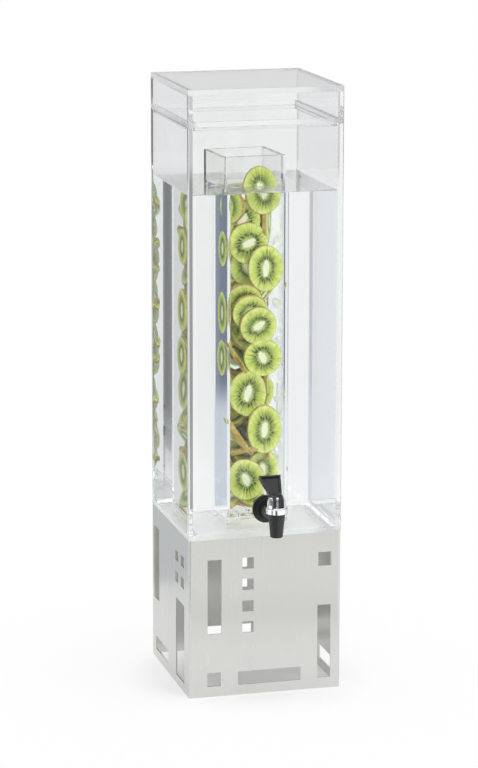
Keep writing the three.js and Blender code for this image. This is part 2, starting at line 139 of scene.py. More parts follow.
# How far the tone and the roughness of moulded and metal finishes stray from their middle
MOULDED_TONE_SHARES = (0.8, 1.25)
MOULDED_ROUGHNESS_SHARES = (0.85, 1.2)
METAL_TONE_SHARES = (0.93, 1.0)
METAL_ROUGHNESS_SHARES = (0.7, 1.4)

# Stretches of noise along X, Y and Z, for finishes brushed or turned upright
EVEN = (1, 1, 1)
BRUSHED_SHARES = (1, 1, 0.010)
BANDED_SHARES = (1, 1, 0.04)
DRAWN_SHARES = (1, 1, 0.05)

# The camera, in metres, millimetres of lens and degrees
CAMERA_PLACE = (-0.9068, -3.32955, 1.1217)
CAMERA_LENS = 140.9
SENSOR_WIDTH = 36
FRAME_SHIFT_SHARE = -0.1354
CAMERA_DIP = 10.49
CAMERA_HEADING = -14.98
CAMERA_ROLL = 0.10
NEAREST_SEEN = 0.05
FURTHEST_SEEN = 60

# The studio
FLOOR_RADIUS = 0.45
FLOOR_STEPS = 96
FLOOR_GREY = 0.80
WHITE = (1.0, 1.0, 1.0)
SOFTBOX_SIZE = (1.0, 0.8)
SOFTBOX_PLACE = (1.1, -1.7, 1.7)
SOFTBOX_AIM = (0, 0, 0.35)
SOFTBOX_POWER = 10


def camera():
    """The photograph's view: a long lens, from the front left and a little above."""
    data = bpy.data.cameras.new("camera")
    data.lens = CAMERA_LENS
    data.sensor_width = SENSOR_WIDTH
    data.shift_y = FRAME_SHIFT_SHARE
    data.clip_start = NEAREST_SEEN
    data.clip_end = FURTHEST_SEEN
    seen = bpy.data.objects.new("camera", data)
    bpy.context.scene.collection.objects.link(seen)
    turn = Euler((math.radians(90 - CAMERA_DIP), 0, math.radians(CAMERA_HEADING))).to_matrix()
    roll = Matrix.Rotation(math.radians(CAMERA_ROLL), 3, "Z")
    seen.matrix_world = Matrix.Translation(CAMERA_PLACE) @ (turn @ roll).to_4x4()
    bpy.context.scene.camera = seen


# Node helpers
def empty_tree(owner):
    owner.use_nodes = True
    owner.node_tree.nodes.clear()
    return owner.node_tree.nodes


def new_material(name):
    material = bpy.data.materials.new(name)
    nodes = empty_tree(material)
    output = nodes.new("ShaderNodeOutputMaterial")
    shader = nodes.new("ShaderNodeBsdfPrincipled")
    link(material, shader.outputs[0], output.inputs["Surface"])
    return material, shader


def node(material, kind, **settings):
    made = material.node_tree.nodes.new(kind)
    for key, value in settings.items():
        setattr(made, key, value)
    return made


def link(material, source, target):
    material.node_tree.links.new(source, target)


def math_node(material, operation, first, second=None):
    made = node(material, "ShaderNodeMath", operation=operation)
    for socket, value in zip(made.inputs, (first, second)):
        if value is None:
            continue
        if isinstance(value, (int, float)):
            socket.default_value = value
        else:
            link(material, value, socket)
    return made.outputs[0]


def product(material, first, *others):
    for other in others:
        first = math_node(material, "MULTIPLY", first, other)
    return first


def centred(material, source, width):
    """A source from 0 to 1, moved to lie half the width to either side of 0."""
    return product(material, math_node(material, "SUBTRACT", source, 0.5), width)


def spread(material, source, low, high):
    """A source from 0 to 1, drawn out from low to high."""
    made = node(material, "ShaderNodeMapRange")
    made.inputs["To Min"].default_value = low
    made.inputs["To Max"].default_value = high
    link(material, source, made.inputs["Value"])
    return made.outputs[0]


def rising(material, source, low, high):
    """A smooth step from 0 at low to 1 at high, or down where low is the larger."""
    made = node(material, "ShaderNodeMapRange", interpolation_type="SMOOTHSTEP")
    made.inputs["From Min"].default_value = low
    made.inputs["From Max"].default_value = high
    link(material, source, made.inputs["Value"])
    return made.outputs[0]


def ramp(material, source, stops):
    made = node(material, "ShaderNodeValToRGB")
    elements = made.color_ramp.elements
    while len(elements) < len(stops):
        elements.new(0.5)
    for element, (place, colour) in zip(elements, stops):
        element.position = place
        element.color = (*colour, 1)
    link(material, source, made.inputs[0])
    return made.outputs[0]


def mix_colour(material, factor, first, second, blend="MIX"):
    made = node(material, "ShaderNodeMix", data_type="RGBA", blend_type=blend)
    for socket, value in ((made.inputs[0], factor), (made.inputs[6], first), (made.inputs[7], second)):
        if isinstance(value, (int, float)):
            socket.default_value = value
        elif isinstance(value, tuple):
            socket.default_value = (*value, 1)
        else:
            link(material, value, socket)
    return made.outputs[2]


def two_tone(material, source, first, second):
    """The first colour where noise is low, and the second where it is high."""
    return ramp(material, source, [(NOISE_LOW_SHARE, first), (NOISE_HIGH_SHARE, second)])


def object_place(material, stretch=EVEN):
    place = node(material, "ShaderNodeTexCoord")
    scale = node(material, "ShaderNodeMapping")
    scale.inputs["Scale"].default_value = stretch
    link(material, place.outputs["Object"], scale.inputs["Vector"])
    return scale.outputs[0]


def noise(material, place, scale, detail=4, roughness=0.5):
    made = node(material, "ShaderNodeTexNoise")
    made.inputs["Scale"].default_value = scale
    made.inputs["Detail"].default_value = detail
    made.inputs["Roughness"].default_value = roughness
    link(material, place, made.inputs["Vector"])
    return made.outputs[0]


def bump(material, shader, height, strength, distance):
    made = node(material, "ShaderNodeBump")
    made.inputs["Strength"].default_value = strength
    made.inputs["Distance"].default_value = distance
    link(material, height, made.inputs["Height"])
    link(material, made.outputs[0], shader.inputs["Normal"])


# Materials
def acrylic(name, ior, roughness=0.0, tint=(0.985, 0.993, 0.992)):
    """Clear cast sheet with a faint roll to its faces. Its sawn edges are rough."""
    material, shader = new_material(name)
    shader.inputs["Base Color"].default_value = (*tint, 1)
    shader.inputs["Roughness"].default_value = roughness
    shader.inputs["IOR"].default_value = ior
    shader.inputs["Transmission Weight"].default_value = 1
    roll = noise(material, object_place(material), scale=6, detail=1)
    bump(material, shader, roll, strength=0.01, distance=SHEET_ROLL)
    return material


def drink_surface():
    """The drink's top, with a faint ripple."""
    material, shader = new_material("drink_surface")
    shader.inputs["Base Color"].default_value = (0.99, 0.995, 0.992, 1)
    shader.inputs["Roughness"].default_value = 0
    shader.inputs["IOR"].default_value = SURFACE_IOR
    shader.inputs["Transmission Weight"].default_value = 1
    ripple = noise(material, object_place(material), scale=25, detail=2)
    bump(material, shader, ripple, strength=0.12, distance=RIPPLE_RELIEF)
    return material


def drink_side():
    """The drink's sides lie against the acrylic, whose wet faces already bend the light."""
    material = bpy.data.materials.new("drink_side")
    nodes = empty_tree(material)
    output = nodes.new("ShaderNodeOutputMaterial")
    clear = nodes.new("ShaderNodeBsdfTransparent")
    link(material, clear.outputs[0], output.inputs["Surface"])
    return material


def white_acrylic():
    """The plate under the tank's floor, white all through."""
    material, shader = new_material("white_acrylic")
    grain = noise(material, object_place(material), scale=60, detail=3)
    colour = two_tone(material, grain, (0.97, 0.97, 0.97), (0.99, 0.99, 0.99))
    link(material, colour, shader.inputs["Base Color"])
    shader.inputs["Roughness"].default_value = 0.3
    shader.inputs["Specular IOR Level"].default_value = 0
    bump(material, shader, grain, strength=0.1, distance=GRAIN_RELIEF)
    return material


def brushed_steel():
    """Sheet brushed up and down, with the fine grain and slow clouding of a satin finish."""
    material, shader = new_material("brushed_steel")
    brushed = object_place(material, BRUSHED_SHARES)
    grain = noise(material, brushed, scale=3600, detail=3, roughness=0.6)
    banded = object_place(material, BANDED_SHARES)
    band = noise(material, banded, scale=140, detail=3, roughness=0.6)
    cloud = noise(material, object_place(material), scale=14, detail=3)
    fine = two_tone(material, grain, (0.69, 0.695, 0.667), (0.735, 0.74, 0.712))
    broad = two_tone(material, band, (0.985, 0.985, 0.985), WHITE)
    clouded = two_tone(material, cloud, (0.97, 0.97, 0.97), WHITE)
    streaked = mix_colour(material, 1.0, fine, broad, "MULTIPLY")
    colour = mix_colour(material, 1.0, streaked, clouded, "MULTIPLY")
    link(material, colour, shader.inputs["Base Color"])
    link(material, spread(material, band, low=0.24, high=0.34), shader.inputs["Roughness"])
    shader.inputs["Metallic"].default_value = 1
    shader.inputs["Anisotropic"].default_value = 0.6
    bump(material, shader, grain, strength=0.05, distance=GRAIN_RELIEF)
    return material


def moulded(name, colour, roughness, grain_scale, strength):
    """Moulded plastic or rubber with a fine uneven skin."""
    material, shader = new_material(name)
    grain = noise(material, object_place(material), grain_scale, detail=4, roughness=0.6)
    tones = [tuple(share * channel for channel in colour) for share in MOULDED_TONE_SHARES]
    rough = spread(material, grain, *(share * roughness for share in MOULDED_ROUGHNESS_SHARES))
    link(material, two_tone(material, grain, *tones), shader.inputs["Base Color"])
    link(material, rough, shader.inputs["Roughness"])
    bump(material, shader, grain, strength, GRAIN_RELIEF)
    return material


def metal(name, colour, roughness, stretch, scale):
    """Bare or plated metal, smeared a little unevenly by its polish."""
    material, shader = new_material(name)
    grain = noise(material, object_place(material, stretch), scale, detail=3, roughness=0.6)
    tones = [tuple(share * channel for channel in colour) for share in METAL_TONE_SHARES]
    rough = spread(material, grain, *(share * roughness for share in METAL_ROUGHNESS_SHARES))
    link(material, two_tone(material, grain, *tones), shader.inputs["Base Color"])
    link(material, rough, shader.inputs["Roughness"])
    shader.inputs["Metallic"].default_value = 1
    bump(material, shader, grain, strength=0.04, distance=METAL_RELIEF)
    return material


# Shares of a slice's half width and half height: the oval that its seeds follow, and its core
SEED_OVAL_SHARES = (0.88, 1.10)
CORE_SHARES = (0.17, 0.33)

# Rings of marks round the core: how many, and how far a ring is turned in shares of a mark's place
THREAD_COUNT = 47
THREAD_TURN_SHARE = 0.3
SEED_RING_SHARES = ((19, 0.0), (23, 0.4))

# A mark strays over this share of its place. It is full within a share of its half width, and
# between two shares of its length.
MARK_STRAY_SHARE = 0.5
FULL_WIDTH_SHARE = 0.45
FULL_LENGTH_SHARES = (0.25, 0.55)


def flat_length(material, across, up, half_width, half_height):
    """Distance from the middle, in half widths of an oval."""
    flat = node(material, "ShaderNodeCombineXYZ")
    link(material, math_node(material, "DIVIDE", across, half_width), flat.inputs[0])
    link(material, math_node(material, "DIVIDE", up, half_height), flat.inputs[1])
    length = node(material, "ShaderNodeVectorMath", operation="LENGTH")
    link(material, flat.outputs[0], length.inputs[0])
    return length.outputs["Value"]


def slice_coordinates(material):
    """Across, up, distance from the middle, heading and seed of a place on a slice.

    The slice_place attribute holds the place across the slice as shares of its outline, and
    a number that differs from slice to slice.
    """
    place = node(material, "ShaderNodeAttribute", attribute_name="slice_place")
    parts = node(material, "ShaderNodeSeparateXYZ")
    link(material, place.outputs["Vector"], parts.inputs[0])
    across, up, seed = parts.outputs
    radius = flat_length(material, across, up, 1, 1)
    angle = math_node(material, "ARCTAN2", up, across)
    return across, up, radius, angle, seed


def polar_noise(material, coordinates, around, along, detail=3):
    """Noise drawn round a slice, stretched towards its rim where along is small."""
    _, _, radius, angle, seed = coordinates
    made = node(material, "ShaderNodeCombineXYZ")
    link(material, product(material, math_node(material, "COSINE", angle), around), made.inputs[0])
    link(material, product(material, math_node(material, "SINE", angle), around), made.inputs[1])
    depth = math_node(material, "ADD", product(material, radius, along), seed)
    link(material, depth, made.inputs[2])
    return noise(material, made.outputs[0], 1, detail, roughness=0.6)


def seed_marks(material, coordinates, count, start, length, width, shift):
    """A ring of dark radial marks round the core.

    Start and length are ranges, in half widths of the seeds' oval, from which each mark draws
    its own. Width is half a mark's, and shift turns the ring, both as shares of a mark's place.
    """
    across, up, _, angle, seed = coordinates
    oval = flat_length(material, across, up, *SEED_OVAL_SHARES)
    turns = math_node(material, "ADD", product(material, angle, count / (2 * math.pi)), shift)
    cell = math_node(material, "FLOOR", turns)
    pair = node(material, "ShaderNodeCombineXYZ")
    link(material, cell, pair.inputs[0])
    link(material, seed, pair.inputs[1])
    chance = node(material, "ShaderNodeTexWhiteNoise", noise_dimensions="3D")
    link(material, pair.outputs[0], chance.inputs["Vector"])
    draws = node(material, "ShaderNodeSeparateColor")
    link(material, chance.outputs["Color"], draws.inputs[0])
    first, second, third = draws.outputs
    beside = math_node(material, "SUBTRACT", math_node(material, "SUBTRACT", turns, cell), 0.5)
    beside = math_node(material, "ADD", beside, centred(material, third, MARK_STRAY_SHARE))
    beside = math_node(material, "ABSOLUTE", beside)
    thin = rising(material, beside, width, width * FULL_WIDTH_SHARE)
    depth = math_node(material, "SUBTRACT", oval, spread(material, first, *start))
    depth = math_node(material, "DIVIDE", depth, spread(material, second, *length))
    full_from, full_to = FULL_LENGTH_SHARES
    inner = rising(material, depth, 0.0, full_from)
    outer = rising(material, depth, 1.0, full_to)
    return product(material, inner, outer, thin)


def kiwi_flesh():
    """A cut face: pale core, ring of dark seeds with their threads, and green rays."""
    material, shader = new_material("kiwi_flesh")
    coordinates = slice_coordinates(material)
    across, up, radius, _, _ = coordinates
    rays = polar_noise(material, coordinates, around=24, along=1.6)
    patches = polar_noise(material, coordinates, around=2.4, along=2.5, detail=2)

    flesh = ramp(material, radius, [
        (0.0, (0.72, 0.80, 0.38)),
        (0.28, (0.50, 0.62, 0.15)),
        (0.50, (0.50, 0.62, 0.09)),
        (0.74, (0.67, 0.76, 0.15)),
        (0.90, (0.79, 0.84, 0.27)),
        (0.965, (0.80, 0.84, 0.30)),
        (1.0, (0.55, 0.55, 0.12)),
    ])
    streak = ramp(material, rays, [(0.34, (0.66, 0.74, 0.48)), (0.58, (1.08, 1.06, 1.12))])
    patch = two_tone(material, patches, (0.82, 0.90, 0.70), (1.08, 1.04, 1.08))
    flesh = mix_colour(material, 1.0, flesh, streak, "MULTIPLY")
    flesh = mix_colour(material, 1.0, flesh, patch, "MULTIPLY")

    dark_green = (0.07, 0.11, 0.015)
    threads = seed_marks(
        material, coordinates, THREAD_COUNT, start=(0.27, 0.33), length=(0.34, 0.60), width=0.36,
        shift=THREAD_TURN_SHARE,
    )
    flesh = mix_colour(material, product(material, threads, 0.85), flesh, dark_green)
    black = (0.010, 0.011, 0.007)
    for count, shift in SEED_RING_SHARES:
        pips = seed_marks(
            material, coordinates, count, start=(0.29, 0.45), length=(0.14, 0.24), width=0.26,
            shift=shift,
        )
        flesh = mix_colour(material, product(material, pips, 0.97), flesh, black)

    # The core is a long pale oval with a wandering, feathered edge
    core = flat_length(material, across, up, *CORE_SHARES)
    for stray, width in ((patches, 1.2), (rays, 1.0)):
        core = math_node(material, "ADD", core, centred(material, stray, width))
    pale = (0.93, 0.94, 0.74)
    flesh = mix_colour(material, rising(material, core, low=1.15, high=0.90), flesh, pale)

    link(material, flesh, shader.inputs["Base Color"])
    shader.inputs["Roughness"].default_value = 0.4
    bump(material, shader, rays, strength=0.25, distance=FLESH_RELIEF)
    return material


def kiwi_skin():
    """Thin golden brown skin with short fuzz."""
    material, shader = new_material("kiwi_skin")
    place = object_place(material)
    fuzz = noise(material, place, scale=900, detail=4, roughness=0.7)
    mottle = noise(material, place, scale=120, detail=3)
    colour = ramp(material, mottle, [
        (0.30, (0.30, 0.17, 0.04)),
        (0.52, (0.60, 0.37, 0.09)),
        (0.72, (0.80, 0.57, 0.18)),
    ])
    shade = ramp(material, fuzz, [(0.35, (0.76, 0.72, 0.66)), (0.65, (1.1, 1.1, 1.1))])
    link(material, mix_colour(material, 1.0, colour, shade, "MULTIPLY"), shader.inputs["Base Color"])
    shader.inputs["Roughness"].default_value = 0.75
    bump(material, shader, fuzz, strength=0.5, distance=FUZZ_RELIEF)
    return material


# Mesh helpers
@contextmanager
def editing(mesh):
    """Opens a mesh for editing and writes it back."""
    made = bmesh.new()
    made.from_mesh(mesh)
    yield made
    made.to_mesh(mesh)
    made.free()


def place_object(name, mesh, *materials):
    made = bpy.data.objects.new(name, mesh)
    bpy.context.scene.collection.objects.link(made)
    for material in materials:
        made.data.materials.append(material)
    return made


def block(low, high):
    """A plain box between two corners, to join to a shell or cut from it."""
    mesh = bpy.data.meshes.new("block")
    size = high - low
    middle = (low + high) / 2
    with editing(mesh) as made:
        bmesh.ops.create_cube(made, size=1)
        for vertex in made.verts:
            vertex.co = middle + vertex.co * size
    return place_object("block", mesh)


def square_block(half, bottom, top, middle=MIDDLE):
    low = Vector((middle.x - half, middle.y - half, bottom))
    high = Vector((middle.x + half, middle.y + half, top))
    return block(low, high)


def rounded_block(half, radius, bottom, top):
    """A square block with round upright edges, about the tank's middle."""
    mesh = bpy.data.meshes.new("rounded")
    with editing(mesh) as made:
        loop = []
        for corner, (x_side, y_side) in enumerate(((1, 1), (-1, 1), (-1, -1), (1, -1))):
            for step in range(LOCATOR_CORNER_STEPS + 1):
                angle = math.pi / 2 * (corner + step / LOCATOR_CORNER_STEPS)
                x = MIDDLE.x + x_side * (half - radius) + radius * math.cos(angle)
                y = MIDDLE.y + y_side * (half - radius) + radius * math.sin(angle)
                loop.append(made.verts.new((x, y, bottom)))
        face = made.faces.new(loop)
        bmesh.ops.reverse_faces(made, faces=[face])
        raised = bmesh.ops.extrude_face_region(made, geom=[face])["geom"]
        for item in raised:
            if isinstance(item, bmesh.types.BMVert):
                item.co.z = top
        bmesh.ops.recalc_face_normals(made, faces=made.faces)
    return place_object("rounded", mesh)


def combine(base, tool, operation):
    """Joins or cuts base with tool, which is used up."""
    modifier = base.modifiers.new("combine", "BOOLEAN")
    modifier.operation = operation
    modifier.solver = "EXACT"
    modifier.object = tool
    bpy.context.view_layer.update()
    graph = bpy.context.evaluated_depsgraph_get()
    mesh = bpy.data.meshes.new_from_object(base.evaluated_get(graph))
    base.modifiers.clear()
    base.data = mesh
    bpy.data.objects.remove(tool)


def soften(shell):
    """Rounds every sharp edge a little, as flame polishing does."""
    with editing(shell.data) as made:
        bmesh.ops.dissolve_limit(
            made, angle_limit=FLAT_ANGLE, verts=made.verts, edges=made.edges,
        )
        between_faces = [edge for edge in made.edges if len(edge.link_faces) == 2]
        sharp = [edge for edge in between_faces if edge.calc_face_angle() > SHARP_ANGLE]
        bmesh.ops.bevel(
            made, geom=sharp, offset=ACRYLIC_ROUND, segments=ROUND_STEPS, profile=0.5,
            affect="EDGES", clamp_overlap=True,
        )


def divide(made, place, normal):
    """Splits the faces that a plane crosses."""
    everything = made.verts[:] + made.edges[:] + made.faces[:]
    bmesh.ops.bisect_plane(made, geom=everything, plane_co=place, plane_no=normal)


def slot_of(shell, material):
    """The material's number on the shell, which takes it on where it has none."""
    if material.name not in shell.data.materials:
        shell.data.materials.append(material)
    return shell.data.materials.find(material.name)


def wet_inside(shell, dry, wet, reach):
    """Gives the faces that the drink touches the wet acrylic. Reach is the drink's half width."""
    with editing(shell.data) as made:
        divide(made, (0, 0, WATER_LEVEL), (0, 0, 1))
    shell.data.materials.clear()
    dry_slot = slot_of(shell, dry)
    wet_slot = slot_of(shell, wet)
    for face in shell.data.polygons:
        place = face.center - MIDDLE
        inside = abs(place.x) < reach and abs(place.y) < reach
        in_depth = TANK_FLOOR_TOP - ACRYLIC_ROUND < face.center.z < WATER_LEVEL
        face.material_index = wet_slot if inside and in_depth else dry_slot


def saw_edges(shell, sawn, bands):
    """Marks the cut edges of the sheets that show outside.

    These are the rims of the flat plates, given by the bands of height that they take up,
    and on the left and right the ends of the front and back panels.
    """
    slot = slot_of(shell, sawn)
    planes = [((0, MIDDLE.y + side * CAVITY, 0), (0, 1, 0)) for side in (-1, 1)]
    planes += [((0, 0, height), (0, 0, 1)) for band in bands for height in band]
    with editing(shell.data) as made:
        for place, normal in planes:
            divide(made, place, normal)
        for face in made.faces:
            place = face.calc_center_median() - MIDDLE
            height = place.z + MIDDLE.z
            on_side = abs(abs(place.x) - HALF) < ACRYLIC_ROUND
            on_front = abs(abs(place.y) - HALF) < ACRYLIC_ROUND
            in_band = any(low < height < high for low, high in bands)
            panel_end = on_side and abs(place.y) > CAVITY
            if panel_end or (in_band and (on_side or on_front)):
                face.material_index = slot


def finish_piece(piece, name, body, slot, *replaced):
    piece.name = name
    piece.data.name = name
    if replaced:
        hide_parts(*replaced)
    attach(piece, body)
    return piece


# The clear boxes
def tank_shell(dry, wet, wet_floor, sawn, white):
    """The tank's five sheets and the white plate under its floor, bonded into one."""
    shell = square_block(HALF, TANK_BOTTOM + AIR_GAP, TANK_TOP)
    locator_half = (LOCATOR_HIGH.x - LOCATOR_LOW.x) / 2
    plate = rounded_block(locator_half, LOCATOR_CORNER, LOCATOR_LOW.z, TANK_BOTTOM + WALL / 2)
    combine(shell, plate, "UNION")
    combine(shell, square_block(CAVITY, TANK_FLOOR_TOP, TANK_TOP + OVERRUN), "DIFFERENCE")
    soften(shell)
    wet_inside(shell, dry, wet, CAVITY + ACRYLIC_ROUND)
    saw_edges(shell, sawn, [(TANK_BOTTOM, TANK_FLOOR_TOP)])
    wet_slot = slot_of(shell, wet)
    white_slot = slot_of(shell, white)
    floor_slot = slot_of(shell, wet_floor)
    for face in shell.data.polygons:
        if face.center.z < TANK_BOTTOM:
            face.material_index = white_slot
        elif face.material_index == wet_slot and face.center.z < TANK_FLOOR_TOP + ACRYLIC_ROUND:
            face.material_index = floor_slot
    return finish_piece(
        shell, "tank_shell", "tank", "acrylic", "tank_floor", "tank_front", "tank_back",
        "tank_left", "tank_right", "tank_floor_locator",
    )


def lid_shell(dry, sawn):
    """The lid's plate, skirts, frame and lips, bonded into one."""
    shell = square_block(HALF, LID_BOTTOM + AIR_GAP, LID_TOP)
    combine(shell, square_block(LIP_REACH, LIP_LOW.z, LID_BOTTOM + 2 * AIR_GAP), "UNION")
    through = square_block(LID_MOUTH, LIP_LOW.z - OVERRUN, LID_FRAME_TOP + OVERRUN)
    combine(shell, through, "DIFFERENCE")
    combine(shell, square_block(CAVITY, LID_FRAME_TOP, LID_PLATE_BOTTOM), "DIFFERENCE")
    soften(shell)
    shell.data.materials.clear()
    shell.data.materials.append(dry)
    saw_edges(shell, sawn, [(LID_BOTTOM, LID_FRAME_TOP), (LID_PLATE_BOTTOM, LID_TOP)])
    return finish_piece(
        shell, "lid_shell", "lid", "acrylic", "lid_top", "lid_skirt_front", "lid_skirt_back",
        "lid_skirt_left", "lid_skirt_right", "lid_frame", "lid_lip_front", "lid_lip_back",
        "lid_lip_left", "lid_lip_right",
    )


def chamber_matrix():
    """Takes a place measured from the chamber's own middle to the frame."""
    middle = Matrix.Translation((CHAMBER_MIDDLE.x, CHAMBER_MIDDLE.y, 0))
    return middle @ Matrix.Rotation(CHAMBER_TURN, 4, "Z")


def dry_bore(shell, dry, inner):
    """A film of air clings to the chamber's inner faces, so they reflect as dry ones do."""
    from_frame = chamber_matrix().inverted()
    dry_slot = slot_of(shell, dry)
    for face in shell.data.polygons:
        place = from_frame @ face.center
        if max(abs(place.x), abs(place.y)) < inner + AIR_GAP:
            face.material_index = dry_slot


def chamber_shell(dry, wet):
    """The chamber's four sheets, open at the top and slotted at the foot for the drink."""
    reach = CHAMBER_SIDE / 2
    inner = reach - CHAMBER_WALL
    shell = square_block(reach, CHAMBER_BOTTOM, CHAMBER_TOP, CHAMBER_MIDDLE)
    bore = square_block(inner, CHAMBER_BOTTOM - OVERRUN, CHAMBER_TOP + OVERRUN, CHAMBER_MIDDLE)
    combine(shell, bore, "DIFFERENCE")
    slot_half = FEED_WIDTH / 2
    for size in ((slot_half, reach + OVERRUN), (reach + OVERRUN, slot_half)):
        low = CHAMBER_MIDDLE - Vector((*size, 0))
        high = CHAMBER_MIDDLE + Vector((*size, 0))
        low.z = CHAMBER_BOTTOM - OVERRUN
        high.z = CHAMBER_BOTTOM + FEED_HEIGHT
        combine(shell, block(low, high), "DIFFERENCE")
    soften(shell)
    to_middle = Matrix.Translation((-CHAMBER_MIDDLE.x, -CHAMBER_MIDDLE.y, 0))
    shell.data.transform(chamber_matrix() @ to_middle)
    wet_inside(shell, dry, wet, CAVITY)
    dry_bore(shell, dry, inner)
    return finish_piece(
        shell, "chamber_shell", "chamber", "acrylic", "chamber_front", "chamber_back",
        "chamber_left", "chamber_right",
    )


# The contents
def drink(surface, side):
    """The drink fills the tank to its level and climbs a little at the walls."""
    mesh = bpy.data.meshes.new("drink")
    half = CAVITY - WATER_INSET
    with editing(mesh) as made:
        def ring(reach, height):
            return [
                made.verts.new((MIDDLE.x + x_side * reach, MIDDLE.y + y_side * reach, height))
                for x_side, y_side in ((-1, -1), (1, -1), (1, 1), (-1, 1))
            ]

        bottom = ring(half, TANK_FLOOR_TOP + WATER_INSET)
        edge = [
            ring(half - MENISCUS_WIDTH * share, WATER_LEVEL + MENISCUS_RISE * (1 - share) ** 2)
            for share in [step / MENISCUS_STEPS for step in range(MENISCUS_STEPS + 1)]
        ]
        made.faces.new(reversed(bottom))
        for lower, upper in zip([bottom, *edge], edge):
            for here in range(4):
                after = (here + 1) % 4
                made.faces.new((lower[here], lower[after], upper[after], upper[here]))
        made.faces.new(edge[-1])
        made.normal_update()
        for face in made.faces:
            face.material_index = 0 if face.normal.z > LEAST_UPWARD_SHARE else 1
    piece = place_object("drink", mesh, surface, side)
    return finish_piece(piece, "drink", "tank", "acrylic")


# Kiwi slices, placed in the chamber: across, depth from its middle, height, half width and half
# height in mm, then the spin of the cut face, its turn to the side and its lean, in degrees.
FRONT_SLICES = [
    (10, -24.5, 589, 21.0, 27.0, 14, -3, -4),
    (-12, -17.5, 556, 20.0, 22.0, -40, -17, 4),
    (-6, -20, 528, 23.0, 24.5, -62, -8, 3),
    (12, -28, 499, 20.5, 27.5, -4, -3, 0),
    (-5, -15.5, 500, 20.0, 24.0, 30, -21, 6),
    (-10, -18.5, 462, 20.0, 21.0, -50, -19, 26),
    (-6, -22.5, 448, 20.5, 21.0, -55, -1, 18),
    (4, -26, 431, 21.5, 22.0, -60, -6, 4),
    (10, -24.5, 392.5, 22.5, 22.0, 25, -3, 2),
    (-7, -21, 350, 22.0, 27.5, -24, -8, 2),
    (11, -28, 307, 20.5, 28.5, -8, -4, 0),
    (-10, -24, 247, 21.5, 24.0, 24, -16, -3),
    (13, -16.5, 256, 20.0, 23.0, 10, 3, 3),
    (20, -12, 552, 19.0, 24.0, 0, 60, 0),
    (-20, -16, 394, 19.0, 23.0, 20, -102, 32),
    (-19, -15, 302, 19.0, 24.0, 0, -100, 34),
    (-13, -12, 292, 19.0, 23.0, 0, -104, 42),
    (-2, -10, 276, 20.0, 22.0, 0, 0, 66),
    (22, -6, 368, 18.0, 24.0, 0, 66, 0),
    (22, -12, 288, 18.0, 24.0, 0, 66, 0),
    (17, -8, 466, 18.0, 22.0, 0, 40, 35),
    (16, -6, 344, 18.0, 21.0, 0, 24, 10),
    (-25, 0, 350, 20.0, 24.0, 0, -84, -6),
    (-25, 2, 250, 20.0, 24.0, 0, -86, 4),
    (-24, -12, 572, 18.0, 20.0, 0, -60, 0),
    (-30.6, -6, 522, 19.0, 21.0, 0, -90, 0),
    (-30.6, -4, 446, 20.0, 25.0, 0, -90, 0),
    (-30.6, -2, 392, 20.0, 22.0, 0, -90, 0),
]

# Slices behind those, in every layer: across, depth, turn to the side and lean
FILLER_PLACES = [
    (16, 9, 80, 20),
    (2, 20, 180, 50),
    (-12, 12, -75, 50),
    (2, 5, 20, 60),
]
FILLER_LAYERS = 15
FIRST_LAYER = 222
LAYER_PITCH = 24

# How far fillers stray, in mm and degrees, and the ranges of their half width and half height
PLACE_STRAY = 3
HEIGHT_STRAY = 6
SPIN_STRAY = 90
TURN_STRAY = 16
LEAN_STRAY_SHARES = (0.6, 1.2)
HALF_WIDTHS = (18, 20)
HALF_HEIGHTS = (20, 23)
FILLER_SEED = 11

SLICE_THICKNESS = 5.2 * MM
SLICE_STEPS = 48
SLICE_SEED = 5
SLICE_NUMBERS = (0, 40)
FACE_RING_SHARES = (0.30, 0.60, 0.85, 0.97)
RIM_SHARES = (
    (1.0, 0.88), (1.01, 0.68), (1.02, 0.3), (1.02, -0.3), (1.01, -0.68), (1.0, -0.88),
)
# Rings of a slice from the front to the back: share of the outline, share of half the thickness
SLICE_RING_SHARES = [
    *((share, 1.0) for share in FACE_RING_SHARES),
    *RIM_SHARES,
    *((share, -1.0) for share in reversed(FACE_RING_SHARES)),
]
# How far a slice strays from a flat oval: two lobes and three round its outline, and its warp
TWO_LOBE_SHARE = 0.018
THREE_LOBE_SHARE = 0.012
WARP_SHARE = 0.10


def filler_slices():
    """Slices that fill the chamber behind those at the front, in loose tilted layers."""
    draw = random.Random(FILLER_SEED)

    def stray(most):
        return draw.uniform(-most, most)

    rows = []
    for layer in range(FILLER_LAYERS):
        height = FIRST_LAYER + layer * LAYER_PITCH
        for x, y, turn, lean in FILLER_PLACES:
            rows.append((
                x + stray(PLACE_STRAY), y + stray(PLACE_STRAY), height + stray(HEIGHT_STRAY),
                draw.uniform(*HALF_WIDTHS), draw.uniform(*HALF_HEIGHTS), stray(SPIN_STRAY),
                turn + stray(TURN_STRAY),
                draw.choice((-1, 1)) * lean * draw.uniform(*LEAN_STRAY_SHARES),
            ))
    return rows


def slice_vertices(half_width, half_height, wobble):
    """Vertices of a slice that lies flat, from the middle of its front to that of its back.

    Each comes as its share of the outline, its angle and its place.
    """
    rings = [
        (share, level, 2 * math.pi * step / SLICE_STEPS)
        for share, level in SLICE_RING_SHARES
        for step in range(SLICE_STEPS)
    ]
    for share, level, angle in [(0, 1, 0), *rings, (0, -1, 0)]:
        outline = 1 + TWO_LOBE_SHARE * wobble[0] * math.sin(2 * angle + 3 * wobble[1])
        outline += THREE_LOBE_SHARE * wobble[2] * math.sin(3 * angle + 5 * wobble[3])
        warp = WARP_SHARE * wobble[1] * share * share * math.cos(2 * angle + wobble[3])
        yield share, angle, Vector((
            share * outline * half_width * math.cos(angle),
            share * outline * half_height * math.sin(angle),
            SLICE_THICKNESS / 2 * (level + warp),
        ))


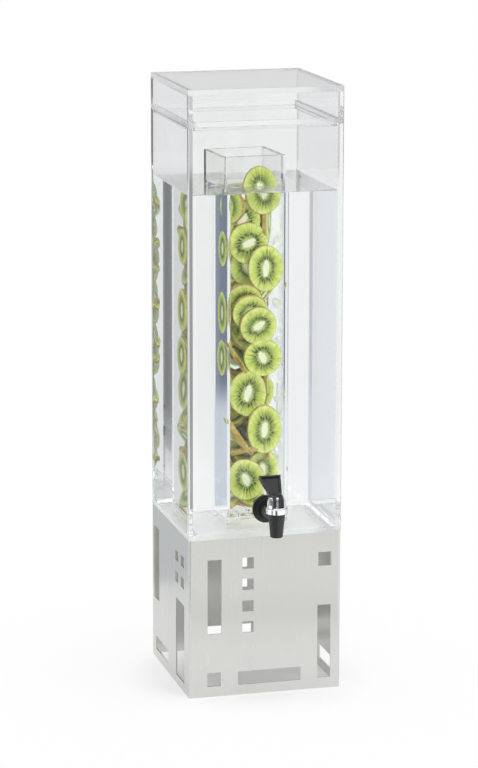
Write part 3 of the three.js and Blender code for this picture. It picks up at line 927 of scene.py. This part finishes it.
def slice_faces():
    """Faces of a slice, as numbers of its vertices, each with whether it is skin."""
    face_rings = len(FACE_RING_SHARES)
    last_ring = len(SLICE_RING_SHARES) - 1
    last_start = 1 + last_ring * SLICE_STEPS
    back_middle = last_start + SLICE_STEPS
    for step in range(SLICE_STEPS):
        after = (step + 1) % SLICE_STEPS
        yield (0, 1 + step, 1 + after), False
        for ring in range(last_ring):
            near = 1 + ring * SLICE_STEPS
            far = near + SLICE_STEPS
            on_rim = face_rings < ring < last_ring - face_rings - 1
            yield (near + step, far + step, far + after, near + after), on_rim
        yield (back_middle, last_start + after, last_start + step), False


def kiwi_slices(flesh, skin):
    """The chamber's filling: one mesh that holds every slice as a closed body of its own."""
    draw = random.Random(SLICE_SEED)
    vertices, faces, is_skin, places = [], [], [], []
    for row in [*FRONT_SLICES, *filler_slices()]:
        x, y, z, half_width, half_height, spin, turn, lean = row
        number = draw.uniform(*SLICE_NUMBERS)
        wobble = [draw.uniform(-1, 1) for _ in range(4)]
        basis = (
            Matrix.Rotation(math.radians(turn), 4, "Z")
            @ Matrix.Rotation(math.radians(lean), 4, "X")
            @ Matrix.Rotation(math.radians(90), 4, "X")
        )
        move = Matrix.Translation((x * MM, y * MM, z * MM)) @ basis
        start = len(vertices)
        for share, angle, place in slice_vertices(half_width * MM, half_height * MM, wobble):
            turned = angle - math.radians(spin)
            vertices.append(move @ place)
            places.append((share * math.cos(turned), share * math.sin(turned), number))
        for face, skinned in slice_faces():
            faces.append([start + index for index in face])
            is_skin.append(skinned)
    mesh = bpy.data.meshes.new("kiwi_slices")
    mesh.from_pydata(vertices, [], faces)
    place = mesh.attributes.new("slice_place", "FLOAT_VECTOR", "POINT")
    place.data.foreach_set("vector", [value for entry in places for value in entry])
    piece = place_object("kiwi_slices", mesh, flesh, skin)
    for face, skinned in zip(mesh.polygons, is_skin):
        face.material_index = 1 if skinned else 0
        face.use_smooth = True
    mesh.transform(chamber_matrix())
    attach(piece, "chamber")
    return piece


# The CAD shapes
def dress(piece, material, edge_round=0):
    """Gives a CAD shape its finish, smooth turned faces and softened edges."""
    piece.data.materials.clear()
    piece.data.materials.append(material)
    for face in piece.data.polygons:
        face.use_smooth = True
        face.material_index = 0
    piece.data.set_sharp_from_angle(angle=SMOOTH_ANGLE)
    if edge_round:
        edge = piece.modifiers.new("edge", "BEVEL")
        edge.width = edge_round
        edge.segments = ROUND_STEPS
        edge.limit_method = "ANGLE"
        edge.angle_limit = SHARP_ANGLE
        edge.harden_normals = True


def valve_spring(material):
    """The valve's spring, copied from its CAD shape with a mesh of its own; the real spring shortens
    as the lever lifts the stem.
    """
    piece = place_object("valve_spring", NODES["tap_spring"].data.copy())
    finish_piece(piece, "valve_spring", "tank", "steel", "tap_spring")
    dress(piece, material)
    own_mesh(piece)


# How much of the white sweep shows through the floor, by share of its radius
GLOW_SHARES = [(0.16, 0.20), (0.34, 0.80), (0.60, 0.92), (0.95, 1.0)]


def floor():
    """A pale disc that fades into the white sweep round it and keeps the object's shadow."""
    mesh = bpy.data.meshes.new("floor")
    with editing(mesh) as made:
        bmesh.ops.create_circle(made, cap_ends=True, radius=FLOOR_RADIUS, segments=FLOOR_STEPS)
    material = bpy.data.materials.new("pale_floor")
    nodes = empty_tree(material)
    output = nodes.new("ShaderNodeOutputMaterial")
    cloth = nodes.new("ShaderNodeBsdfDiffuse")
    cloth.inputs["Color"].default_value = (FLOOR_GREY, FLOOR_GREY, FLOOR_GREY, 1)
    glow = nodes.new("ShaderNodeEmission")
    glow.inputs["Strength"].default_value = 1
    mixed = nodes.new("ShaderNodeMixShader")
    away = node(material, "ShaderNodeVectorMath", operation="LENGTH")
    link(material, object_place(material), away.inputs[0])
    reach = math_node(material, "DIVIDE", away.outputs["Value"], FLOOR_RADIUS)
    fade = ramp(material, reach, [(share, (glow_share,) * 3) for share, glow_share in GLOW_SHARES])
    path = nodes.new("ShaderNodeLightPath")
    seen = path.outputs["Is Camera Ray"]
    for kind in ("Is Transmission Ray", "Is Glossy Ray"):
        seen = math_node(material, "MAXIMUM", seen, path.outputs[kind])
    link(material, product(material, seen, fade), mixed.inputs[0])
    link(material, cloth.outputs[0], mixed.inputs[1])
    link(material, glow.outputs[0], mixed.inputs[2])
    link(material, mixed.outputs[0], output.inputs["Surface"])
    place_object("floor", mesh, material)


# Brightness round the horizon, from the far side of the object: degrees clockwise, colour
HORIZON = [
    (-180, (1.12, 1.12, 1.10)),
    (-130, (1.20, 1.21, 1.22)),
    (-124, (0.22, 0.25, 0.22)),
    (-102, (0.22, 0.25, 0.22)),
    (-96, (1.25, 1.27, 1.29)),
    (-42, (1.05, 1.07, 1.09)),
    (-35, (0.13, 0.17, 0.24)),
    (-25.6, (0.13, 0.17, 0.24)),
    (-24.4, (0.84, 0.86, 0.87)),
    (-15.6, (0.88, 0.90, 0.91)),
    (-14.9, (0.34, 0.35, 0.36)),
    (-12.4, (0.34, 0.35, 0.36)),
    (-5, (0.95, 0.95, 0.95)),
    (35, (0.95, 0.95, 0.95)),
    (58, (1.0, 1.0, 1.0)),
    (66, (0.58, 0.63, 0.65)),
    (82, (0.56, 0.61, 0.64)),
    (90, (1.15, 1.16, 1.17)),
    (150, (1.10, 1.11, 1.07)),
    (180, (1.12, 1.12, 1.10)),
]

# Patches of the sky, each laid over those before it: colour, then where it starts to show and
# where it is full, as shares of a whole step to the east, to the north or up
DARK_ROOM = (0.13, 0.14, 0.15)
IN_FRONT_SHARES = ("north", -0.3, -0.7)
NEAR_FLOOR_SHARES = ("up", -0.22, -0.25)
SKY_PATCH_SHARES = [
    # The sweep behind dims above the horizon
    ((0.60, 0.60, 0.60), [("up", 0.02, 0.14), ("north", 0.3, 0.7)]),
    # The left flag is paler where the lid and the tank's dry part look at it
    (
        (0.60, 0.61, 0.63),
        [("up", -0.151, -0.143), ("east", -0.16, -0.20), ("north", 0.60, 0.66)],
    ),
    # It is paler at its foot too
    (
        (0.66, 0.71, 0.78),
        [("up", -0.214, -0.226), ("east", -0.40, -0.44), ("north", 0.50, 0.56)],
    ),
    # A grey card on the left
    ((0.21, 0.22, 0.22), [("east", -0.72, -0.80), ("up", -0.08, 0.0)]),
    # The lit floor in front
    ((1.2, 1.2, 1.18), [NEAR_FLOOR_SHARES, IN_FRONT_SHARES]),
    # A dark doorway stands on it, to the right
    (
        DARK_ROOM,
        [
            ("east", 0.06, 0.14), ("east", 0.46, 0.38),
            ("up", -0.25, -0.22), ("up", -0.02, -0.09), IN_FRONT_SHARES,
        ],
    ),
    # A dark rug lies on it, to the left
    (
        DARK_ROOM,
        [("east", -0.06, -0.14), ("east", -0.62, -0.55), NEAR_FLOOR_SHARES, IN_FRONT_SHARES],
    ),
    # The light above
    ((1.25, 1.25, 1.26), [("up", math.sin(math.radians(24)), math.sin(math.radians(44)))]),
]


def world():
    """A studio drawn on the sky: a band round the horizon, and patches laid over it."""
    made = bpy.data.worlds.new("studio")
    bpy.context.scene.world = made
    nodes = empty_tree(made)
    output = nodes.new("ShaderNodeOutputWorld")
    background = nodes.new("ShaderNodeBackground")
    place = nodes.new("ShaderNodeTexCoord")
    parts = nodes.new("ShaderNodeSeparateXYZ")
    link(made, place.outputs["Generated"], parts.inputs[0])
    ways = dict(zip(("east", "north", "up"), parts.outputs))
    heading = math_node(made, "ARCTAN2", ways["east"], ways["north"])
    turn_share = math_node(made, "ADD", math_node(made, "DIVIDE", heading, 2 * math.pi), 0.5)
    colour = ramp(made, turn_share, [((degrees + 180) / 360, tone) for degrees, tone in HORIZON])
    for tone, limits in SKY_PATCH_SHARES:
        shown = [rising(made, ways[way], start, full) for way, start, full in limits]
        colour = mix_colour(made, product(made, *shown), colour, tone)
    path = nodes.new("ShaderNodeLightPath")
    seen = mix_colour(made, path.outputs["Is Camera Ray"], colour, WHITE)
    link(made, seen, background.inputs["Color"])
    link(made, background.outputs[0], output.inputs["Surface"])


def lamps():
    """One large soft lamp from the upper front gives the tap its highlights."""
    data = bpy.data.lights.new("front_softbox", "AREA")
    data.shape = "RECTANGLE"
    data.size, data.size_y = SOFTBOX_SIZE
    data.energy = SOFTBOX_POWER
    lamp = bpy.data.objects.new("front_softbox", data)
    bpy.context.scene.collection.objects.link(lamp)
    lamp.location = SOFTBOX_PLACE
    aim = Vector(SOFTBOX_AIM) - Vector(SOFTBOX_PLACE)
    lamp.rotation_euler = aim.to_track_quat("-Z", "Y").to_euler()


def render_depth():
    """Enough bounces for sight to pass through four clear walls and back."""
    cycles = bpy.context.scene.cycles
    cycles.max_bounces = 32
    cycles.transmission_bounces = 32
    cycles.glossy_bounces = 12
    cycles.diffuse_bounces = 4
    cycles.transparent_max_bounces = 48
    cycles.caustics_reflective = True
    cycles.caustics_refractive = True
    cycles.blur_glossy = 0
    bpy.context.scene.view_settings.view_transform = "Standard"


camera()
world()
lamps()
floor()
render_depth()

dry = acrylic("acrylic", ACRYLIC_IOR)
wet = acrylic("acrylic_wet", ACRYLIC_IOR / DRINK_IOR)
wet_tank = acrylic("acrylic_wet_tank", ACRYLIC_IOR / DRINK_IOR, tint=(0.945, 0.952, 0.960))
sawn = acrylic("acrylic_sawn", ACRYLIC_IOR, roughness=0.35)
steel_sheet = brushed_steel()
black_plastic = moulded(
    "black_plastic", (0.012, 0.012, 0.013), roughness=0.30, grain_scale=1500, strength=0.15,
)
black_rubber = moulded(
    "black_rubber", (0.02, 0.02, 0.02), roughness=0.8, grain_scale=1800, strength=0.3,
)
silicone = moulded(
    "silicone", (0.55, 0.56, 0.57), roughness=0.55, grain_scale=1200, strength=0.15,
)
chrome = metal("chrome", (0.86, 0.87, 0.89), roughness=0.06, stretch=EVEN, scale=300)
steel = metal("steel", (0.62, 0.63, 0.64), roughness=0.28, stretch=DRAWN_SHARES, scale=1500)

tank_shell(dry, wet_tank, wet, sawn, white_acrylic())
lid_shell(dry, sawn)
chamber_shell(dry, wet)
drink(drink_surface(), drink_side())
kiwi_slices(kiwi_flesh(), kiwi_skin())
dress(NODES["riser_shell"], steel_sheet, SHEET_STEEL_ROUND)
dress(NODES["chamber_strainer"], wet)
for piece_name in ("tap_body", "tap_flange", "tap_nut", "tap_lever"):
    dress(NODES[piece_name], black_plastic, MOULDED_ROUND)
for piece_name in ("tap_outer_washer", "tap_inner_washer"):
    dress(NODES[piece_name], black_rubber)
dress(NODES["tap_bonnet"], chrome, TURNED_ROUND)
dress(NODES["tap_seat_cup"], silicone)
for piece_name in ("tap_stem", "tap_lever_pin"):
    dress(NODES[piece_name], steel)
valve_spring(steel)
